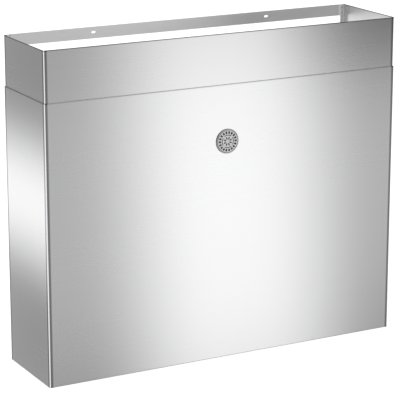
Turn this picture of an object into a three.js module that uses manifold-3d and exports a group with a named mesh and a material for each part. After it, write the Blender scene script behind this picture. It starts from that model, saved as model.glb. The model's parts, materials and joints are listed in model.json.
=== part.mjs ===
// Telescopic duct cover for a wall-mounted range hood, in millimetres.
// +Z is up, the front panel faces -Y, the wall is at the +Y side, and z = 0 is the foot of the lower cover.
import * as THREE from "three";
import { mergeVertices } from "three/addons/utils/BufferGeometryUtils.js";
import Module from "manifold-3d";

const wasm = await Module();
wasm.setup();

// Overall size. The width suits a 36 inch hood and the closed height is 30 inches.
const WIDTH = 898;
const DEPTH = 220;
const CLOSED_HEIGHT = 762;
const LOWER_HEIGHT = 646;

// Sheet metal.
const SHEET = 1.0;
const BEND = 3.0;
const BEND_SEGMENTS = 5;
const SLIDE_GAP = 0.6;
const REAR_FLANGE = 12;
const TOUCH = 0.02;

// Foot angles welded inside the bottom of the lower cover, with screw holes into the hood.
const SIDE_FOOT = 15;
const FRONT_FOOT = 9;
const FOOT_LEG = 12;
const FOOT_BEND = 2.5;
const FOOT_CORNER_GAP = 2;
const FOOT_HOLE = 4.5;
const FOOT_HOLE_INSET = 9;
const FOOT_HOLE_SPACING = 120;
const STAND_GAP = 0.3;

// Wall strip across the back of the upper cover, with two slots for wall screws.
const STRIP_HEIGHT = 27;
const STRIP_LAP = 5.7;
const JOGGLE_RUN = 3.4;
const SLOT_SPACING = 454;
const SLOT_LENGTH = 10.5;
const SLOT_WIDTH = 5;
const SLOT_DROP = 12.5;

// Blind rivets that hold the strip to the rear flanges.
const RIVET_SHANK = 2.4;
const RIVET_HOLE = 2.5;
const RIVET_HEAD = 4.8;
const RIVET_HEAD_HEIGHT = 0.8;
const RIVET_TAIL = 3.6;
const RIVET_TAIL_HEIGHT = 1.2;
const RIVET_BORE = 1.4;
const RIVET_BORE_DEPTH = 0.6;
const RIVET_SPACING = 14;
const RIVET_INSET = 9;

// Glide tapes inside the mouth of the lower cover.
const TAPE_THICK = 0.4;
const TAPE_HEIGHT = 12;
const TAPE_BELOW_EDGE = 6;
const TAPE_CORNER_CLEAR = 24;

// Round badge on the front panel.
const BADGE_HEIGHT = 515;
const BADGE_RADIUS = 28.5;
const BADGE_WELL = 25.5;
const BADGE_STAND = 3;
const PAD_RADIUS = 25.5;
const PAD_THICK = 0.8;
const DISH_FLOOR = 0.8;
const ENAMEL_THICK = 0.4;
const RELIEF_THICK = 0.7;
const RELIEF_CLEAR = 0.2;
const ROUND_SEGMENTS = 96;
const RIM_SEGMENTS = 6;
const WINDOW_SEGMENTS = 3;

const FRONT = BADGE_STAND - (DEPTH + BADGE_STAND) / 2;
const REAR = FRONT + DEPTH;
const STEP = SHEET + SLIDE_GAP;

const steel = { color: 0xb9bbbd, metalness: 1, roughness: 0.34 };
const castMetal = { color: 0xc4c5c6, metalness: 1, roughness: 0.28 };
const enamel = { color: 0x3a3c3f, metalness: 0.2, roughness: 0.5 };
const foam = { color: 0x2b2c2e, metalness: 0, roughness: 0.95 };
const plastic = { color: 0xe9e8e2, metalness: 0, roughness: 0.55 };

const cover = new THREE.Group();
cover.name = "duct_cover";

function addPart(name, geometry, finish) {
  const mesh = new THREE.Mesh(geometry, new THREE.MeshStandardMaterial(finish));
  mesh.name = name;
  cover.add(mesh);
  return mesh;
}

function toSolid(geometry) {
  const bare = geometry.clone();
  bare.deleteAttribute("normal");
  bare.deleteAttribute("uv");
  const merged = mergeVertices(bare, 1e-3);
  return new wasm.Manifold(
    new wasm.Mesh({
      numProp: 3,
      vertProperties: new Float32Array(merged.attributes.position.array),
      triVerts: new Uint32Array(merged.index.array),
    }),
  );
}

function toGeometry(solid) {
  const mesh = solid.getMesh();
  const geometry = new THREE.BufferGeometry();
  geometry.setAttribute("position", new THREE.BufferAttribute(mesh.vertProperties, 3));
  geometry.setIndex(new THREE.BufferAttribute(mesh.triVerts, 1));
  const flat = geometry.toNonIndexed();
  flat.computeVertexNormals();
  return flat;
}

function subtractAll(solid, cutters) {
  return cutters.reduce((rest, cutter) => rest.subtract(toSolid(cutter)), solid);
}

function extrude(shape, depth, curveSegments = BEND_SEGMENTS) {
  return new THREE.ExtrudeGeometry(shape, { depth, bevelEnabled: false, curveSegments });
}

function block(x0, x1, y0, y1, z0, z1) {
  const geometry = new THREE.BoxGeometry(x1 - x0, y1 - y0, z1 - z0);
  return geometry.translate((x0 + x1) / 2, (y0 + y1) / 2, (z0 + z1) / 2);
}

// Plan of a sheet folded round three sides, with a narrow return flange at each rear corner.
function coverPlan(halfWidth, front, rear) {
  const inner = BEND - SHEET;
  const corners = [
    { x: BEND - halfWidth, y: rear - BEND, from: Math.PI / 2 },
    { x: BEND - halfWidth, y: front + BEND, from: Math.PI },
    { x: halfWidth - BEND, y: front + BEND, from: 1.5 * Math.PI },
    { x: halfWidth - BEND, y: rear - BEND, from: 0 },
  ];
  const plan = new THREE.Shape();
  plan.moveTo(REAR_FLANGE - halfWidth, rear);
  plan.lineTo(BEND - halfWidth, rear);
  for (const { x, y, from } of corners) {
    plan.absarc(x, y, BEND, from, from + Math.PI / 2, false);
  }
  plan.lineTo(halfWidth - REAR_FLANGE, rear);
  plan.lineTo(halfWidth - REAR_FLANGE, rear - SHEET);
  for (const { x, y, from } of corners.toReversed()) {
    plan.absarc(x, y, inner, from + Math.PI / 2, from, true);
  }
  plan.lineTo(REAR_FLANGE - halfWidth, rear - SHEET);
  plan.closePath();
  return plan;
}

function roundCutter(x, y, z0, z1, diameter) {
  const cutter = new THREE.CylinderGeometry(diameter / 2, diameter / 2, z1 - z0, 32);
  return cutter.rotateX(Math.PI / 2).translate(x, y, (z0 + z1) / 2);
}

// An L-shaped foot angle: its leg stands against one wall and its foot points inwards along z = 0.
function footAngle(corner, inward, length, foot) {
  const profile = new THREE.Shape();
  profile.moveTo(0, FOOT_LEG);
  profile.lineTo(0, FOOT_BEND);
  profile.absarc(FOOT_BEND, FOOT_BEND, FOOT_BEND, Math.PI, 1.5 * Math.PI, false);
  profile.lineTo(foot, 0);
  profile.lineTo(foot, SHEET);
  profile.absarc(FOOT_BEND, FOOT_BEND, FOOT_BEND - SHEET, 1.5 * Math.PI, Math.PI, true);
  profile.lineTo(SHEET, FOOT_LEG);
  profile.closePath();
  const up = new THREE.Vector3(0, 0, 1);
  const along = new THREE.Vector3().crossVectors(inward, up);
  const turn = new THREE.Matrix4().makeBasis(inward, up, along);
  return extrude(profile, length).applyMatrix4(turn).translate(corner.x, corner.y, corner.z);
}

function addFootAngles() {
  const wall = WIDTH / 2 - SHEET - TOUCH;
  const frontHalf = wall - SIDE_FOOT - FOOT_CORNER_GAP;
  const frontCorner = new THREE.Vector3(-frontHalf, FRONT + SHEET + TOUCH, 0);
  const frontInward = new THREE.Vector3(0, 1, 0);
  addPart(
    "foot_angle_front",
    footAngle(frontCorner, frontInward, 2 * frontHalf, FRONT_FOOT),
    steel,
  );
  const sideFrom = FRONT + BEND + FOOT_CORNER_GAP;
  const sideTo = REAR - BEND - FOOT_CORNER_GAP;
  for (const side of [-1, 1]) {
    const corner = new THREE.Vector3(side * wall, side < 0 ? sideTo : sideFrom, 0);
    const inward = new THREE.Vector3(-side, 0, 0);
    const angle = toSolid(footAngle(corner, inward, sideTo - sideFrom, SIDE_FOOT));
    const holes = [-1, 1].map((end) => {
      const y = (sideFrom + sideTo + end * FOOT_HOLE_SPACING) / 2;
      return roundCutter(side * (wall - FOOT_HOLE_INSET), y, -SHEET, 2 * SHEET, FOOT_HOLE);
    });
    const name = side < 0 ? "foot_angle_left" : "foot_angle_right";
    addPart(name, toGeometry(subtractAll(angle, holes)), steel);
  }
}

// The upper cover nests inside the lower one and, closed, stands on the legs of the foot angles.
const UPPER_HALF = WIDTH / 2 - STEP;
const UPPER_REAR = REAR - STEP;
const UPPER_FOOT = FOOT_LEG + STAND_GAP;
const LAP_FACE = UPPER_REAR - SHEET;
const STRIP_MIDDLE = CLOSED_HEIGHT - STRIP_HEIGHT / 2;

function rivetPlaces() {
  const places = [];
  for (const side of [-1, 1]) {
    for (const level of [-1, 1]) {
      places.push({
        name: `strip_rivet_${side < 0 ? "left" : "right"}_${level < 0 ? "lower" : "upper"}`,
        x: side * (UPPER_HALF - RIVET_INSET),
        z: STRIP_MIDDLE + (level * RIVET_SPACING) / 2,
      });
    }
  }
  return places;
}

function rivetHoles() {
  return rivetPlaces().map(({ x, z }) => {
    const cutter = new THREE.CylinderGeometry(RIVET_HOLE / 2, RIVET_HOLE / 2, 4 * STEP, 32);
    return cutter.translate(x, LAP_FACE, z);
  });
}

function makeUpperCover() {
  const plan = coverPlan(UPPER_HALF, FRONT + STEP, UPPER_REAR);
  const shell = extrude(plan, CLOSED_HEIGHT - UPPER_FOOT).translate(0, 0, UPPER_FOOT);
  return toGeometry(subtractAll(toSolid(shell), rivetHoles()));
}

// The strip lies in the wall plane and steps forward at both ends to lap the inside of the rear flanges.
function makeWallStrip() {
  const lapInner = UPPER_HALF - REAR_FLANGE;
  const rampInner = lapInner - JOGGLE_RUN;
  const end = lapInner + STRIP_LAP;
  const lapBack = LAP_FACE - TOUCH;
  const clear = SHEET / 2;
  const plan = new THREE.Shape([
    new THREE.Vector2(-end, lapBack),
    new THREE.Vector2(-end, lapBack - SHEET),
    new THREE.Vector2(-lapInner + clear, lapBack - SHEET),
    new THREE.Vector2(-rampInner + clear, REAR - SHEET),
    new THREE.Vector2(rampInner - clear, REAR - SHEET),
    new THREE.Vector2(lapInner - clear, lapBack - SHEET),
    new THREE.Vector2(end, lapBack - SHEET),
    new THREE.Vector2(end, lapBack),
    new THREE.Vector2(lapInner - clear, lapBack),
    new THREE.Vector2(rampInner - clear, REAR),
    new THREE.Vector2(-rampInner + clear, REAR),
    new THREE.Vector2(-lapInner + clear, lapBack),
  ]);
  const strip = extrude(plan, STRIP_HEIGHT).translate(0, 0, CLOSED_HEIGHT - STRIP_HEIGHT);
  const slots = [-1, 1].map((side) => {
    const straight = (SLOT_LENGTH - SLOT_WIDTH) / 2;
    const outline = new THREE.Shape();
    outline.absarc(straight, 0, SLOT_WIDTH / 2, -Math.PI / 2, Math.PI / 2, false);
    outline.absarc(-straight, 0, SLOT_WIDTH / 2, Math.PI / 2, 1.5 * Math.PI, false);
    outline.closePath();
    const cutter = extrude(outline, 3 * SHEET, 12).rotateX(Math.PI / 2);
    return cutter.translate((side * SLOT_SPACING) / 2, REAR + SHEET, CLOSED_HEIGHT - SLOT_DROP);
  });
  return toGeometry(subtractAll(toSolid(strip), [...slots, ...rivetHoles()]));
}

// A blind rivet along Y: a domed head on the strip with the pulled stem's bore, and a tail behind the flange.
function makeRivet() {
  const seat = LAP_FACE - TOUCH - SHEET - TOUCH;
  const tailSeat = UPPER_REAR + TOUCH;
  const crown = seat - RIVET_HEAD_HEIGHT;
  const profile = [
    new THREE.Vector2(0, crown + RIVET_BORE_DEPTH),
    new THREE.Vector2(RIVET_BORE / 2, crown + RIVET_BORE_DEPTH),
    new THREE.Vector2(RIVET_BORE / 2, crown),
    new THREE.Vector2(RIVET_HEAD * 0.32, crown + RIVET_HEAD_HEIGHT * 0.1),
    new THREE.Vector2(RIVET_HEAD * 0.44, crown + RIVET_HEAD_HEIGHT * 0.4),
    new THREE.Vector2(RIVET_HEAD / 2, crown + RIVET_HEAD_HEIGHT * 0.8),
    new THREE.Vector2(RIVET_HEAD / 2, seat),
    new THREE.Vector2(RIVET_SHANK / 2, seat),
    new THREE.Vector2(RIVET_SHANK / 2, tailSeat),
    new THREE.Vector2(RIVET_TAIL / 2, tailSeat),
    new THREE.Vector2(RIVET_TAIL / 2, tailSeat + RIVET_TAIL_HEIGHT * 0.7),
    new THREE.Vector2(RIVET_TAIL * 0.38, tailSeat + RIVET_TAIL_HEIGHT),
    new THREE.Vector2(0, tailSeat + RIVET_TAIL_HEIGHT),
  ];
  return new THREE.LatheGeometry(profile, 32);
}

function addGlideTapes() {
  const top = LOWER_HEIGHT - TAPE_BELOW_EDGE;
  const bottom = top - TAPE_HEIGHT;
  const near = SHEET + TOUCH;
  const far = near + TAPE_THICK;
  const half = WIDTH / 2;
  const frontHalf = half - TAPE_CORNER_CLEAR;
  const y0 = FRONT + TAPE_CORNER_CLEAR;
  const y1 = REAR - TAPE_CORNER_CLEAR;
  addPart(
    "glide_tape_front",
    block(-frontHalf, frontHalf, FRONT + near, FRONT + far, bottom, top),
    plastic,
  );
  addPart("glide_tape_left", block(near - half, far - half, y0, y1, bottom, top), plastic);
  addPart("glide_tape_right", block(half - far, half - near, y0, y1, bottom, top), plastic);
}

// A short window of a ring, as a hole for the pierced relief.
function ringWindow(innerRadius, outerRadius, middle, spread) {
  const window = new THREE.Path();
  window.absarc(0, 0, outerRadius, middle - spread / 2, middle + spread / 2, false);
  window.absarc(0, 0, innerRadius, middle + spread / 2, middle - spread / 2, true);
  window.closePath();
  return window;
}

// A pointed petal that lies along a radius, as a hole for the pierced relief.
function petalWindow(innerRadius, outerRadius, angle, halfWidth) {
  const at = (radius, offset) => {
    const point = new THREE.Vector2(radius, offset);
    return point.rotateAround(new THREE.Vector2(0, 0), angle);
  };
  const bulge = (innerRadius + outerRadius) / 2;
  const inner = at(innerRadius, 0);
  const outer = at(outerRadius, 0);
  const right = at(bulge, -2 * halfWidth);
  const left = at(bulge, 2 * halfWidth);
  const petal = new THREE.Path();
  petal.moveTo(inner.x, inner.y);
  petal.quadraticCurveTo(right.x, right.y, outer.x, outer.y);
  petal.quadraticCurveTo(left.x, left.y, inner.x, inner.y);
  return petal;
}

// The relief is a generic pattern: a ring of bars, a broken groove and a rosette.
function makeRelief() {
  const radius = BADGE_WELL - RELIEF_CLEAR;
  const bars = 18;
  const grooves = 4;
  const petals = 8;
  const rim = new THREE.Path();
  rim.absarc(0, 0, radius, 0, 2 * Math.PI, false);
  const disc = new THREE.Shape(rim.getPoints(ROUND_SEGMENTS / 2));
  for (let i = 0; i < bars; i += 1) {
    const middle = (2 * Math.PI * i) / bars;
    disc.holes.push(ringWindow(0.69 * radius, 0.92 * radius, middle, (1.2 * Math.PI) / bars));
  }
  for (let i = 0; i < grooves; i += 1) {
    const middle = (2 * Math.PI * i) / grooves;
    disc.holes.push(ringWindow(0.54 * radius, 0.61 * radius, middle, (1.6 * Math.PI) / grooves));
  }
  for (let i = 0; i < petals; i += 1) {
    const angle = (2 * Math.PI * (i + 0.5)) / petals;
    disc.holes.push(petalWindow(0.14 * radius, 0.47 * radius, angle, 0.07 * radius));
  }
  return extrude(disc, RELIEF_THICK, WINDOW_SEGMENTS).rotateX(Math.PI / 2);
}

function addBadge() {
  const badge = new THREE.Group();
  badge.position.set(0, FRONT, BADGE_HEIGHT);
  cover.add(badge);
  const padBack = -TOUCH;
  const padFace = padBack - PAD_THICK;
  const dishBack = padFace - TOUCH;
  const floor = dishBack - DISH_FLOOR;
  const enamelFace = floor - TOUCH - ENAMEL_THICK;
  const rimMiddle = (BADGE_RADIUS + BADGE_WELL) / 2;
  const rimRadius = (BADGE_RADIUS - BADGE_WELL) / 2;
  const rimCentre = -BADGE_STAND + rimRadius;

  const padProfile = [
    new THREE.Vector2(0, padFace),
    new THREE.Vector2(PAD_RADIUS, padFace),
    new THREE.Vector2(PAD_RADIUS, padBack),
    new THREE.Vector2(0, padBack),
  ];
  badge.add(addPart("badge_pad", new THREE.LatheGeometry(padProfile, ROUND_SEGMENTS), foam));

  const dishProfile = [new THREE.Vector2(0, floor), new THREE.Vector2(BADGE_WELL, floor)];
  for (let i = 0; i <= 2 * RIM_SEGMENTS; i += 1) {
    const angle = Math.PI - (Math.PI * i) / (2 * RIM_SEGMENTS);
    const x = rimMiddle + rimRadius * Math.cos(angle);
    dishProfile.push(new THREE.Vector2(x, rimCentre - rimRadius * Math.sin(angle)));
  }
  dishProfile.push(new THREE.Vector2(BADGE_RADIUS, dishBack), new THREE.Vector2(0, dishBack));
  badge.add(addPart("badge_dish", new THREE.LatheGeometry(dishProfile, ROUND_SEGMENTS), castMetal));

  const enamelRadius = BADGE_WELL - RELIEF_CLEAR;
  const enamelProfile = [
    new THREE.Vector2(0, enamelFace),
    new THREE.Vector2(enamelRadius, enamelFace),
    new THREE.Vector2(enamelRadius, floor - TOUCH),
    new THREE.Vector2(0, floor - TOUCH),
  ];
  badge.add(addPart("badge_enamel", new THREE.LatheGeometry(enamelProfile, ROUND_SEGMENTS), enamel));

  const relief = makeRelief().translate(0, enamelFace - TOUCH, 0);
  badge.add(addPart("badge_relief", relief, castMetal));
}

addPart("lower_cover", extrude(coverPlan(WIDTH / 2, FRONT, REAR), LOWER_HEIGHT), steel);
addFootAngles();
addPart("upper_cover", makeUpperCover(), steel);
addPart("wall_strip", makeWallStrip(), steel);
for (const { name, x, z } of rivetPlaces()) {
  addPart(name, makeRivet(), castMetal).position.set(x, 0, z);
}
addGlideTapes();
addBadge();

export default cover;
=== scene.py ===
"""Looks of the telescopic duct cover: brushed shells, wall strip, rivets, tapes, foot angles and badge."""

import json
import math

import bmesh
import bpy
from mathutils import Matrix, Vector

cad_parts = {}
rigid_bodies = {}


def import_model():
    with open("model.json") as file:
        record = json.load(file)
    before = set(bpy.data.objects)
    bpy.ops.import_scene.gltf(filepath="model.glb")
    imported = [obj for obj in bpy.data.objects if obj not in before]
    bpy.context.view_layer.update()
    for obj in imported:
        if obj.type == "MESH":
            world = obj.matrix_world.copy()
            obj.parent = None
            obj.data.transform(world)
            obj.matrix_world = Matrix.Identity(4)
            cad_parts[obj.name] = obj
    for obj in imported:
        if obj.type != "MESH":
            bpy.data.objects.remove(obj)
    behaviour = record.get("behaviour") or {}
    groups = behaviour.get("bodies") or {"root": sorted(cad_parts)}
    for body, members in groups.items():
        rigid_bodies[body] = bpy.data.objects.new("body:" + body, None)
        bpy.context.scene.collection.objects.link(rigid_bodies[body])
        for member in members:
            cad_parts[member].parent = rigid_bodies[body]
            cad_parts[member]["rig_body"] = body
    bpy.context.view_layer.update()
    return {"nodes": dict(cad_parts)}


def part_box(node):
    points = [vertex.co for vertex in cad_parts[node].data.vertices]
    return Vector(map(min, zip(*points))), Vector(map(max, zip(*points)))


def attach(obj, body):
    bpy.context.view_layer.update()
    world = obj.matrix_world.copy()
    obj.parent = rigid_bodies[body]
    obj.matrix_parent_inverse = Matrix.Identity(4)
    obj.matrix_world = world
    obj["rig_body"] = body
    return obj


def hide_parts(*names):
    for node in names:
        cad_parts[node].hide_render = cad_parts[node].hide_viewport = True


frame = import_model()
outer_low, outer_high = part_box("lower_cover")

# Sheet metal, in metres: its thickness, outside bend radius, rear return flange and rounded cut edges.
SHEET = 0.001
BEND = 0.003
FLANGE = 0.012
DEBURR = 0.00025

# Mesh fineness: steps round a bend and a cut edge, the rows beside a fold, and the even rows of a flat.
BEND_STEPS = 12
DEBURR_STEPS = 3
NEAR_FOLD = (0.0005, 0.0012, 0.0024, 0.0045, 0.009)
PANEL_STEP = 0.06
SMALLEST_ROW = 1e-5

# Refined CAD pieces: what counts as one point, one flat face and a sharp edge, and how edges are rounded.
SAME_POINT = 1e-6
SAME_FACE = math.radians(0.5)
SHARP_EDGE = math.radians(35.0)
ROUNDING_STEPS = 2
SHEET_ROUNDING = 0.0002
SMALL_ROUNDING = 0.00012
BADGE_ROUNDING = 0.00015
INFILL_ROUNDING = 0.00005
RELIEF_ROUNDING = 0.00014
NORMAL_WEIGHT = 80

# Brush grain: noise cells per metre along X, Y and Z. The brush ran sideways, so they are long and flat.
FINE_GRAIN = (9, 9, 3600)
MEDIUM_GRAIN = (3, 3, 420)
BROAD_GRAIN = (1.4, 1.4, 130)
CLOUDS = (3.1, 3.1, 4.3)

# How strongly the grain shows in the steel's tone, roughness and relief, and how it stretches the gloss.
# A bump is its strength and its depth in metres.
FINE_TONE = 0.03
MEDIUM_TONE = 0.03
BROAD_TONE = 0.05
CLOUD_TONE = 0.015
MEDIUM_ROUGHNESS = 0.03
BROAD_ROUGHNESS = 0.015
CLOUD_ROUGHNESS = 0.02
MEDIUM_RELIEF = 0.7
BRUSH_BUMP = (0.35, 0.00002)
CLOUD_BUMP = (0.25, 0.0008)
ANISOTROPY = 0.72
QUARTER_TURN = 0.25

# Painted light and shade by distance from a fold, negative round the bend itself: a painted highlight on
# the bend, and a band of painted shade beside it. Each pair is where a change starts and where it is
# complete.
BEND_HIGHLIGHT_FADES = (-0.0022, -0.0008)
BEND_HIGHLIGHT_TONE = 0.50
BEND_SHADE_GROWS = (-0.0012, 0.0)
BEND_SHADE_FADES = (0.0030, 0.0065)
BEND_SHADE_TONE = -0.62
PAST_BEND_SHADE = BEND_SHADE_FADES[1]

# Cut edges are rough and carry a band of painted shade, and the inward side of the sheet is painted
# lighter.
EDGE_FADES = (0.0010, 0.0028)
EDGE_ROUGHNESS = 0.10
# The inner face of the sheet is painted lighter: painted light.
INSIDE_PAINTED_LIGHT = 0.15
# How upright a face's normal must be to get the painted shade of a level face.
FACING_UP = (0.35, 0.9)

# Die-cast metal: noise cells per metre and what they do.
SAND = (2600, 2600, 2600)
SAND_TONE = 0.22
SAND_BUMP = (0.5, 0.00004)
PATCHES = (210, 210, 210)
PATCH_TONE = 0.5
PATCH_ROUGHNESS = 0.25

# Dirt in a recess starts just below the raised face, and is complete at a share of the way to its back.
CLEAN_DEPTH = 0.00005
FULL_DIRT = 0.35
DIRT_TONE = -0.95
DIRT_ROUGHNESS = 0.25

# Matt materials: fine cells across each soft patch, the patch's effect, and the relief's strength.
CELLS_PER_PATCH = 12
MATT_PATCH_ROUGHNESS = 0.2
MATT_BUMP_STRENGTH = 0.6

# Camera: its place, where it looks and its lens.
CAMERA_AT = Vector((-2.0646, -3.8099, 1.5188))
CAMERA_YAW = math.radians(28.32)
CAMERA_PITCH = math.radians(-15.08)
LENS = 173.06
SENSOR = 36.0
FARTHEST_SEEN = 200.0

# Studio: the floor, how far the lights stand off the panels that mirror them, the gap between the layers
# of lights and boards, and how far the tall light leans.
FLOOR_REACH = 60.0
FLOOR_HEIGHT = -0.0005
FLOOR_GREY = 0.8
FLOOR_MOTTLE = (1.5, 1.5, 1.5)
FLOOR_MOTTLE_TONE = 0.02
FLOOR_GLOW = 0.62
FRONT_LIGHT_OFF = 0.6
SIDE_LIGHT_OFF = 0.15
LAYER = 0.015
LEAN = math.radians(3.5)

# The sky's brightness by the height of the view direction: 0 is the horizon and 1 is overhead.
SKY = ((0.0, 1.0), (0.10, 0.95), (0.2, 0.35), (0.5, 0.35), (0.7, 1.0), (1.0, 1.0))


# ---------------------------------------------------------------- node helpers


def new_material(name):
    """An empty material, its node tree, and the socket that its surface goes into."""
    material = bpy.data.materials.new(name)
    material.use_nodes = True
    tree = material.node_tree
    tree.nodes.clear()
    output = tree.nodes.new("ShaderNodeOutputMaterial")
    return material, tree, output.inputs["Surface"]


def add(tree, kind, inputs=None, **settings):
    """A node with its settings; inputs are values or sockets to link from."""
    node = tree.nodes.new(kind)
    for key, value in settings.items():
        setattr(node, key, value)
    for key, value in (inputs or {}).items():
        if isinstance(value, bpy.types.NodeSocket):
            tree.links.new(value, node.inputs[key])
        else:
            node.inputs[key].default_value = value
    return node


def math_node(tree, operation, *values):
    return add(tree, "ShaderNodeMath", dict(enumerate(values)), operation=operation).outputs[0]


def weighted_sum(tree, start, terms):
    """A start value plus each term, a source times a weight."""
    total = start
    for source, weight in terms:
        total = math_node(tree, "MULTIPLY_ADD", source, weight, total)
    return total


def step_up(tree, source, start, end, low=0.0, high=1.0):
    """A smooth step from low to high as the source goes from start to end."""
    levels = {"From Min": start, "From Max": end, "To Min": low, "To Max": high}
    node = add(tree, "ShaderNodeMapRange", {"Value": source, **levels})
    node.interpolation_type = "SMOOTHSTEP"
    return node.outputs["Result"]


def step_down(tree, source, start, end):
    """A smooth step from 1 to 0 as the source goes from start to end."""
    return step_up(tree, source, start, end, 1.0, 0.0)


def curve(tree, source, stops):
    """A smooth curve through (place, level) stops. A ramp holds 0 to 1, so it is scaled by its peak."""
    peak = max(level for _, level in stops)
    node = add(tree, "ShaderNodeValToRGB", {"Fac": source})
    line = node.color_ramp
    line.interpolation = "B_SPLINE"
    line.elements.remove(line.elements[-1])
    line.elements[0].position, line.elements[0].color = stops[0][0], grey(stops[0][1] / peak)
    for position, level in stops[1:]:
        line.elements.new(position).color = grey(level / peak)
    return math_node(tree, "MULTIPLY", node.outputs["Color"], peak)


def coordinates(tree, kind):
    return add(tree, "ShaderNodeTexCoord").outputs[kind]


def axis_of(tree, vector, axis):
    return add(tree, "ShaderNodeSeparateXYZ", {0: vector}).outputs[axis]


def attribute(tree, name):
    return add(tree, "ShaderNodeAttribute", attribute_name=name).outputs["Fac"]


def streaks(tree, place, cells, detail, seed):
    """Noise from -0.5 to 0.5, with so many cells per metre along each axis."""
    shift = (seed, -seed, 2 * seed)
    moved = add(tree, "ShaderNodeMapping", {"Vector": place, "Location": shift, "Scale": cells})
    noise = add(tree, "ShaderNodeTexNoise", {"Vector": moved.outputs[0], "Scale": 1.0, "Detail": detail})
    return math_node(tree, "SUBTRACT", noise.outputs["Fac"], 0.5)


def bumped(tree, height, bump, **more):
    """The normal of a relief, from its height and its bump's strength and depth in metres."""
    strength, depth = bump
    levels = {"Strength": strength, "Distance": depth, "Height": height, **more}
    return add(tree, "ShaderNodeBump", levels).outputs[0]


def grey(value, tint=(1.0, 1.0, 1.0)):
    return (value * tint[0], value * tint[1], value * tint[2], 1.0)


def toned(tree, colour, tones):
    """A colour times 1 plus the tone terms, which vary over the surface."""
    factor = weighted_sum(tree, 1.0, tones)
    return add(tree, "ShaderNodeVectorMath", {0: colour[:3], "Scale": factor}, operation="SCALE").outputs[0]


def principled(tree, surface, inputs):
    shader = add(tree, "ShaderNodeBsdfPrincipled", inputs)
    tree.links.new(shader.outputs[0], surface)


# ---------------------------------------------------------------- materials


def fold_light_and_shade(tree):
    """Masks of a fold's painted highlight and beside-fold shade, a cut edge's shade, and the inner face."""
    fold = attribute(tree, "fold_gap")
    bend_highlight = step_down(tree, fold, *BEND_HIGHLIGHT_FADES)
    past_bend = step_up(tree, fold, *BEND_SHADE_GROWS)
    bend_shade = math_node(tree, "MULTIPLY", past_bend, step_down(tree, fold, *BEND_SHADE_FADES))
    edge = step_down(tree, attribute(tree, "rim_gap"), *EDGE_FADES)
    return bend_highlight, bend_shade, edge, attribute(tree, "inside")


def brushed_steel(name, colour, roughness, seed, folds=True, grain=1.0, rim_shade=0.55):
    """Sideways-brushed stainless, with painted light and shade at its folds, cut edges and level faces."""
    material, tree, surface = new_material(name)
    place = coordinates(tree, "Object")
    fine = streaks(tree, place, FINE_GRAIN, detail=2, seed=seed)
    medium = streaks(tree, place, MEDIUM_GRAIN, detail=3, seed=seed + 3)
    broad = streaks(tree, place, BROAD_GRAIN, detail=3, seed=seed + 7)
    cloud = streaks(tree, place, CLOUDS, detail=3, seed=seed + 11)

    tones = [(fine, FINE_TONE * grain), (medium, MEDIUM_TONE * grain), (broad, BROAD_TONE * grain)]
    tones.append((cloud, CLOUD_TONE))
    roughs = [(medium, MEDIUM_ROUGHNESS * grain), (broad, BROAD_ROUGHNESS * grain)]
    roughs.append((cloud, CLOUD_ROUGHNESS))
    if folds:
        bend_highlight, bend_shade, edge, inside = fold_light_and_shade(tree)
        # Painted highlight along each bend, and painted shade beside it.
        tones += [(bend_highlight, BEND_HIGHLIGHT_TONE), (bend_shade, BEND_SHADE_TONE)]
        # Painted shade along the cut edges, and the inner face painted lighter as painted light.
        tones += [(edge, -rim_shade), (inside, INSIDE_PAINTED_LIGHT)]
        roughs.append((edge, EDGE_ROUGHNESS))
    # Painted shade on faces that point up or down, such as the top of a cut edge.
    facing = axis_of(tree, add(tree, "ShaderNodeNewGeometry").outputs["Normal"], "Z")
    cut = step_up(tree, math_node(tree, "ABSOLUTE", facing), *FACING_UP)
    tones.append((cut, -rim_shade))

    brush = math_node(tree, "ADD", fine, math_node(tree, "MULTIPLY", medium, MEDIUM_RELIEF))
    brushed = bumped(tree, brush, BRUSH_BUMP)
    inputs = {
        "Base Color": toned(tree, colour, tones),
        "Metallic": 1.0,
        "Roughness": weighted_sum(tree, roughness, roughs),
        "Anisotropic": ANISOTROPY,
        "Anisotropic Rotation": QUARTER_TURN,
        "Tangent": add(tree, "ShaderNodeTangent", direction_type="RADIAL", axis="Z").outputs[0],
        "Normal": bumped(tree, cloud, CLOUD_BUMP, Normal=brushed),
    }
    principled(tree, surface, inputs)
    return material


def cast_metal(name, colour, roughness, seed, recess=None):
    """Satin die-cast metal: a sand grain, soft dull patches, and dirt from a recess's face to its back."""
    material, tree, surface = new_material(name)
    place = coordinates(tree, "Object")
    sand = streaks(tree, place, SAND, detail=3, seed=seed)
    patch = streaks(tree, place, PATCHES, detail=4, seed=seed + 5)
    tones = [(sand, SAND_TONE), (patch, PATCH_TONE)]
    roughs = [(patch, PATCH_ROUGHNESS)]
    if recess:
        face, back = recess
        dirty = face + FULL_DIRT * (back - face)
        dirt = step_up(tree, axis_of(tree, place, "Y"), face + CLEAN_DEPTH, dirty)
        tones.append((dirt, DIRT_TONE))
        roughs.append((dirt, DIRT_ROUGHNESS))
    inputs = {
        "Base Color": toned(tree, colour, tones),
        "Metallic": 1.0,
        "Roughness": weighted_sum(tree, roughness, roughs),
        "Normal": bumped(tree, sand, SAND_BUMP),
    }
    principled(tree, surface, inputs)
    return material


def matt(name, colour, roughness, cells, depth, seed, contrast=0.3):
    """A non-metal with an even grain, of so many cells per metre and so deep: enamel, foam or tape."""
    material, tree, surface = new_material(name)
    place = coordinates(tree, "Object")
    grain = streaks(tree, place, (cells,) * 3, detail=4, seed=seed)
    patch = streaks(tree, place, (cells / CELLS_PER_PATCH,) * 3, detail=3, seed=seed + 2)
    inputs = {
        "Base Color": toned(tree, colour, [(grain, contrast), (patch, contrast)]),
        "Roughness": weighted_sum(tree, roughness, [(patch, MATT_PATCH_ROUGHNESS)]),
        "Normal": bumped(tree, grain, (MATT_BUMP_STRENGTH, depth)),
    }
    principled(tree, surface, inputs)
    return material


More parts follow.
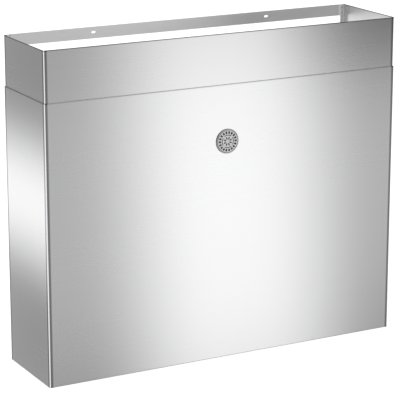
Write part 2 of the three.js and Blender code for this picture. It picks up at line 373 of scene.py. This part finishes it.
def floor_material():
    """A pale floor that glows a little, so that it is as bright as the sky at the horizon."""
    material, tree, surface = new_material("pale_floor")
    mottle = streaks(tree, coordinates(tree, "Object"), FLOOR_MOTTLE, detail=3, seed=1.0)
    colour = toned(tree, grey(FLOOR_GREY), [(mottle, FLOOR_MOTTLE_TONE)])
    matte = add(tree, "ShaderNodeBsdfDiffuse", {"Color": colour})
    glow = add(tree, "ShaderNodeEmission", {"Color": grey(1.0), "Strength": FLOOR_GLOW})
    both = add(tree, "ShaderNodeAddShader", {0: matte.outputs[0], 1: glow.outputs[0]})
    tree.links.new(both.outputs[0], surface)
    return material


def soft_glow(name, core, level):
    """A glow that fades to clear at a panel's edges. Core is the full-strength share of each half."""
    material, tree, surface = new_material(name)
    place = coordinates(tree, "UV")
    covers = []
    for axis, full in zip(("X", "Y"), core):
        from_middle = math_node(tree, "SUBTRACT", axis_of(tree, place, axis), 0.5)
        covers.append(step_down(tree, math_node(tree, "ABSOLUTE", from_middle), 0.5 * full, 0.5))
    clear = add(tree, "ShaderNodeBsdfTransparent").outputs[0]
    glow = add(tree, "ShaderNodeEmission", {"Strength": level}).outputs[0]
    mix = add(tree, "ShaderNodeMixShader", {0: math_node(tree, "MULTIPLY", *covers), 1: clear, 2: glow})
    tree.links.new(mix.outputs[0], surface)
    return material


# ---------------------------------------------------------------- folded shells


def spaced(length, near_start=True, near_end=True):
    """Distances along a flat: close together beside the folds, then even."""
    marks = {0.0, length}
    for gap in NEAR_FOLD:
        if gap < length / 2:
            if near_start:
                marks.add(gap)
            if near_end:
                marks.add(length - gap)
    steps = max(1, round(length / PANEL_STEP))
    marks.update(length * i / steps for i in range(1, steps))
    ordered = sorted(marks)
    kept = [ordered[0]]
    for mark in ordered[1:]:
        if mark - kept[-1] > SMALLEST_ROW:
            kept.append(mark)
    return kept


def fold_path(half, front, rear):
    """Stations round the outer face: place, outward direction, and distance from the nearest fold."""
    stations = []

    def flat(start, end, out, fold_start=True, fold_end=True):
        run = (end - start).length
        for mark in spaced(run, fold_start, fold_end):
            gaps = [gap for gap, on in ((mark, fold_start), (run - mark, fold_end)) if on]
            stations.append((start.lerp(end, mark / run), out, min(gaps)))

    def fold(centre, from_angle):
        for i in range(1, BEND_STEPS):
            angle = from_angle + math.pi / 2 * i / BEND_STEPS
            out = Vector((math.cos(angle), math.sin(angle)))
            inside = min(i, BEND_STEPS - i) / (BEND_STEPS / 2)
            stations.append((centre + BEND * out, out, -BEND * inside))

    west, east = -half, half
    flat(Vector((west + FLANGE, rear)), Vector((west + BEND, rear)), Vector((0, 1)), fold_start=False)
    fold(Vector((west + BEND, rear - BEND)), math.pi / 2)
    flat(Vector((west, rear - BEND)), Vector((west, front + BEND)), Vector((-1, 0)))
    fold(Vector((west + BEND, front + BEND)), math.pi)
    flat(Vector((west + BEND, front)), Vector((east - BEND, front)), Vector((0, -1)))
    fold(Vector((east - BEND, front + BEND)), 1.5 * math.pi)
    flat(Vector((east, front + BEND)), Vector((east, rear - BEND)), Vector((1, 0)))
    fold(Vector((east - BEND, rear - BEND)), 0.0)
    flat(Vector((east - BEND, rear)), Vector((east - FLANGE, rear)), Vector((0, 1)), fold_end=False)
    return stations


def sheet_section(low, high):
    """Closed loop through the sheet: depth into it, height, and the normal's outward and upward parts."""
    loop = []
    heights = [low + DEBURR + mark for mark in spaced(high - low - 2 * DEBURR)]
    corners = (
        (DEBURR, high - DEBURR, 0.0),
        (SHEET - DEBURR, high - DEBURR, math.pi / 2),
        (SHEET - DEBURR, low + DEBURR, math.pi),
        (DEBURR, low + DEBURR, 1.5 * math.pi),
    )
    loop.extend((0.0, z, 1.0, 0.0) for z in heights[:-1])
    for i, (depth, z, start) in enumerate(corners):
        for k in range(DEBURR_STEPS + 1):
            angle = start + math.pi / 2 * k / DEBURR_STEPS
            out, up = math.cos(angle), math.sin(angle)
            loop.append((depth - DEBURR * out, z + DEBURR * up, out, up))
        if i == 1:
            loop.extend((SHEET, z, -1.0, 0.0) for z in reversed(heights[1:-1]))
    return loop[:-1]


def tube_faces(rings, count):
    """Quads between neighbouring rings of count points each, and a cap at either end."""
    faces = []
    for ring in range(rings - 1):
        near, far = ring * count, (ring + 1) * count
        for i in range(count):
            j = (i + 1) % count
            faces.append((near + i, far + i, far + j, near + j))
    faces.append(tuple(range(count)))
    faces.append(tuple(reversed(range((rings - 1) * count, rings * count))))
    return faces


def folded_shell(name, node, material):
    """One sheet folded round three sides, with return flanges, in place of a CAD shell."""
    low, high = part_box(node)
    path = fold_path(high.x, low.y, high.y)
    section = sheet_section(low.z, high.z)
    middle_deep = SHEET / 2
    middle_tall = (low.z + high.z) / 2
    half_tall = (high.z - low.z) / 2
    verts, normals, fold_gaps, rim_gaps, insides = [], [], [], [], []

    def ring(place, out, gap, inset=0.0, tip=0.0):
        """One loop of the section. Inset shrinks it, and tip leans its normals along the path."""
        lead = Vector((-out.y, out.x))
        upright = math.sqrt(max(0.0, 1 - tip * tip))
        for depth, z, across, up in section:
            deep = middle_deep + (depth - middle_deep) * (1 - inset / middle_deep)
            tall = middle_tall + (z - middle_tall) * (1 - inset / half_tall)
            at = place - out * deep
            verts.append((at.x, at.y, tall))
            normal = out * across * upright + lead * tip
            normals.append(Vector((normal.x, normal.y, up * upright)).normalized())
            # Only the outer face gets the painted highlight and shade by the folds; the inner face is set
            # past them.
            fold_gaps.append(gap if deep < middle_deep else PAST_BEND_SHADE)
            rim_gaps.append(min(z - low.z, high.z - z))
            insides.append(deep / SHEET)

    def rounded_end(place, out, gap, side):
        """Rings round a flange's upright edge: side is -1 where the path starts and 1 where it ends."""
        lead = Vector((-out.y, out.x)) * side
        for k in range(DEBURR_STEPS + 1)[::-side]:
            turn = math.pi / 2 * k / DEBURR_STEPS
            back = DEBURR * (1 - math.cos(turn))
            inset = DEBURR * (1 - math.sin(turn))
            ring(place - lead * back, out, gap, inset, side * math.cos(turn))

    rounded_end(*path[0], -1)
    for station in path[1:-1]:
        ring(*station)
    rounded_end(*path[-1], 1)

    mesh = bpy.data.meshes.new(name)
    mesh.from_pydata(verts, [], tube_faces(len(verts) // len(section), len(section)))
    for key, values in (("fold_gap", fold_gaps), ("rim_gap", rim_gaps), ("inside", insides)):
        mesh.attributes.new(key, "FLOAT", "POINT").data.foreach_set("value", values)
    mesh.validate()
    mesh.shade_smooth()
    mesh.normals_split_custom_set_from_vertices(normals)
    mesh.materials.append(material)
    shell = bpy.data.objects.new(name, mesh)
    bpy.context.scene.collection.objects.link(shell)
    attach(shell, frame["nodes"][node]["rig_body"])
    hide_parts(node)


# ---------------------------------------------------------------- refined CAD pieces


def refined(name, node, material, rounding):
    """A copy of a CAD piece with its facets merged and its sharp edges rounded, in place of the node."""
    mesh = frame["nodes"][node].data.copy()
    mesh.name = name
    work = bmesh.new()
    work.from_mesh(mesh)
    bmesh.ops.remove_doubles(work, verts=work.verts, dist=SAME_POINT)
    bmesh.ops.dissolve_limit(work, angle_limit=SAME_FACE, verts=work.verts, edges=work.edges)
    bmesh.ops.bevel(
        work,
        geom=[edge for edge in work.edges if edge.is_manifold and edge.calc_face_angle() > SHARP_EDGE],
        offset=rounding,
        segments=ROUNDING_STEPS,
        profile=0.5,
        affect="EDGES",
        clamp_overlap=True,
    )
    bmesh.ops.dissolve_degenerate(work, dist=SAME_POINT, edges=work.edges)
    bmesh.ops.triangulate(work, faces=[face for face in work.faces if len(face.verts) > 4])
    for face in work.faces:
        face.smooth = True
    work.to_mesh(mesh)
    work.free()
    mesh.materials.clear()
    mesh.materials.append(material)
    piece = bpy.data.objects.new(name, mesh)
    bpy.context.scene.collection.objects.link(piece)
    weighted = piece.modifiers.new("weighted", "WEIGHTED_NORMAL")
    weighted.keep_sharp = False
    weighted.weight = NORMAL_WEIGHT
    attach(piece, frame["nodes"][node]["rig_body"])
    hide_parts(node)


# ---------------------------------------------------------------- the duct cover


SHELL_GREY = grey(0.66, (1.0, 1.0, 1.005))
TAPE_WHITE = grey(0.78, (1.0, 0.99, 0.96))

shell_steel = brushed_steel(
    "brushed_shell_steel", SHELL_GREY, roughness=0.27, seed=1.0, grain=0.45, rim_shade=0.25
)
# Painted shade: the inner shell's steel is a little darker, and its rims darker, than the outer shell's.
upper_steel = brushed_steel(
    "brushed_upper_steel", grey(0.63), roughness=0.27, seed=21.0, grain=0.45, rim_shade=0.75
)
strip_steel = brushed_steel("strip_steel", grey(0.80), roughness=0.30, seed=5.0, folds=False)
mill_steel = brushed_steel("mill_steel", grey(0.52), roughness=0.36, seed=9.0, folds=False, grain=0.6)
relief_depth = [corner.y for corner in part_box("badge_relief")]
badge_metal = cast_metal("badge_cast_metal", grey(0.35), roughness=0.30, seed=2.0)
relief_metal = cast_metal("badge_relief_metal", grey(0.43), roughness=0.32, seed=12.0, recess=relief_depth)
rivet_metal = cast_metal("rivet_metal", grey(0.58), roughness=0.33, seed=6.0)
badge_enamel = matt("badge_enamel_paint", grey(0.02), roughness=0.6, cells=1800, depth=0.00003, seed=3.0)
badge_foam = matt("badge_foam_pad", grey(0.02), roughness=0.9, cells=2400, depth=0.00010, seed=4.0)
tape_plastic = matt(
    "glide_tape_plastic", TAPE_WHITE, roughness=0.5, cells=900, depth=0.00003, seed=8.0, contrast=0.1
)

folded_shell("outer_shell", "lower_cover", shell_steel)
folded_shell("inner_shell", "upper_cover", upper_steel)
refined("cross_strip", "wall_strip", strip_steel, SHEET_ROUNDING)
for end in ("left", "right"):
    for level in ("lower", "upper"):
        refined(f"rivet_{end}_{level}", f"strip_rivet_{end}_{level}", rivet_metal, SMALL_ROUNDING)
for place in ("front", "left", "right"):
    refined(f"foot_{place}", f"foot_angle_{place}", mill_steel, SHEET_ROUNDING)
    refined(f"tape_{place}", f"glide_tape_{place}", tape_plastic, SMALL_ROUNDING)
refined("badge_backing", "badge_pad", badge_foam, BADGE_ROUNDING)
refined("badge_body", "badge_dish", badge_metal, BADGE_ROUNDING)
refined("badge_infill", "badge_enamel", badge_enamel, INFILL_ROUNDING)
refined("badge_pattern", "badge_relief", relief_metal, RELIEF_ROUNDING)


# ---------------------------------------------------------------- floor, lights and sky


def plane(name, centre, wide, tall, material):
    """A staged flat panel, from its centre and its two half sides."""
    corners = [centre + wide * i + tall * j for i, j in ((-1, -1), (1, -1), (1, 1), (-1, 1))]
    mesh = bpy.data.meshes.new(name)
    mesh.from_pydata([tuple(corner) for corner in corners], [], [(0, 1, 2, 3)])
    layer = mesh.uv_layers.new(name="UVMap")
    for loop, uv in zip(layer.data, ((0, 0), (1, 0), (1, 1), (0, 1))):
        loop.uv = uv
    mesh.materials.append(material)
    thing = bpy.data.objects.new(name, mesh)
    bpy.context.scene.collection.objects.link(thing)
    return thing


def softbox(name, centre, out, size, core, level, roll=0.0):
    """A panel with soft edges that only reflections show: a light, a grey board or a dark flag."""
    upward = Vector((0, 0, 1))
    across = upward.cross(out)
    wide = (across * math.cos(roll) + upward * math.sin(roll)) * size[0] / 2
    tall = (upward * math.cos(roll) - across * math.sin(roll)) * size[1] / 2
    light = plane(name, centre, wide, tall, soft_glow(name + "_glow", core, level))
    for ray in ("camera", "diffuse", "transmission", "volume_scatter", "shadow"):
        setattr(light, "visible_" + ray, False)


def front_lights():
    """A grey board before the front, darker below and above, with a tall light and a corner flag."""

    def panel(name, x, z, behind, size, core, level, roll=0.0):
        """A softbox so many layers behind the light, as the front panel sees it."""
        centre = Vector((x, outer_low.y - FRONT_LIGHT_OFF - behind * LAYER, z))
        softbox(name, centre, Vector((0, -1, 0)), size, core, level, roll)

    panel("front_board", x=0.34, z=0.20, behind=2, size=(2.0, 2.4), core=(0.6, 0.6), level=0.66)
    panel("front_shade", x=0.20, z=-0.45, behind=1, size=(2.6, 0.9), core=(0.7, 0.1), level=0.36)
    panel("front_light", x=0.355, z=0.18, behind=0, size=(0.92, 2.2), core=(0.2, 0.2), level=1.5, roll=LEAN)
    panel("front_top_shade", x=0.20, z=0.72, behind=1, size=(2.6, 0.7), core=(0.7, 0.1), level=0.50)
    panel("front_flag", x=0.90, z=0.74, behind=-2, size=(1.15, 0.50), core=(0.05, 0.35), level=0.08)


def side_lights(side_name, side, board_level):
    """A low wide light beside a side panel, with a grey board behind it."""

    def panel(name, y, z, behind, size, core, level):
        """A softbox so many layers behind the light, as the side panel sees it."""
        centre = Vector((side * (outer_high.x + SIDE_LIGHT_OFF + behind * LAYER), y, z))
        softbox(f"{side_name}_{name}", centre, Vector((side, 0, 0)), size, core, level)

    panel("board", y=0.36, z=0.27, behind=2, size=(1.0, 1.6), core=(0.55, 0.55), level=board_level)
    panel("light", y=0.35, z=0.314, behind=0, size=(1.0, 0.49), core=(0.5, 0.1), level=1.45)


floor_middle = Vector((0, 0, FLOOR_HEIGHT))
floor_wide, floor_deep = Vector((FLOOR_REACH, 0, 0)), Vector((0, FLOOR_REACH, 0))
floor = plane("floor", floor_middle, floor_wide, floor_deep, floor_material())
floor.visible_glossy = False

front_lights()
side_lights("left", -1, board_level=0.38)
side_lights("right", 1, board_level=0.22)

world = bpy.data.worlds.new("studio")
world.use_nodes = True
sky = world.node_tree
sky.nodes.clear()
sky_output = sky.nodes.new("ShaderNodeOutputWorld")
sky_level = curve(sky, axis_of(sky, coordinates(sky, "Generated"), "Z"), SKY)
sky_light = add(sky, "ShaderNodeBackground", {"Color": grey(1.0), "Strength": sky_level})
sky.links.new(sky_light.outputs[0], sky_output.inputs["Surface"])
bpy.context.scene.world = world


# ---------------------------------------------------------------- camera


camera_data = bpy.data.cameras.new("camera")
camera_data.lens = LENS
camera_data.sensor_width = SENSOR
camera_data.clip_end = FARTHEST_SEEN
camera = bpy.data.objects.new("camera", camera_data)
camera.location = CAMERA_AT
level_reach = math.cos(CAMERA_PITCH)
ahead = Vector(
    (math.sin(CAMERA_YAW) * level_reach, math.cos(CAMERA_YAW) * level_reach, math.sin(CAMERA_PITCH))
)
camera.rotation_mode = "QUATERNION"
camera.rotation_quaternion = ahead.to_track_quat("-Z", "Y")
bpy.context.scene.collection.objects.link(camera)
bpy.context.scene.camera = camera

bpy.context.scene.view_settings.view_transform = "Standard"
bpy.context.scene.view_settings.look = "None"
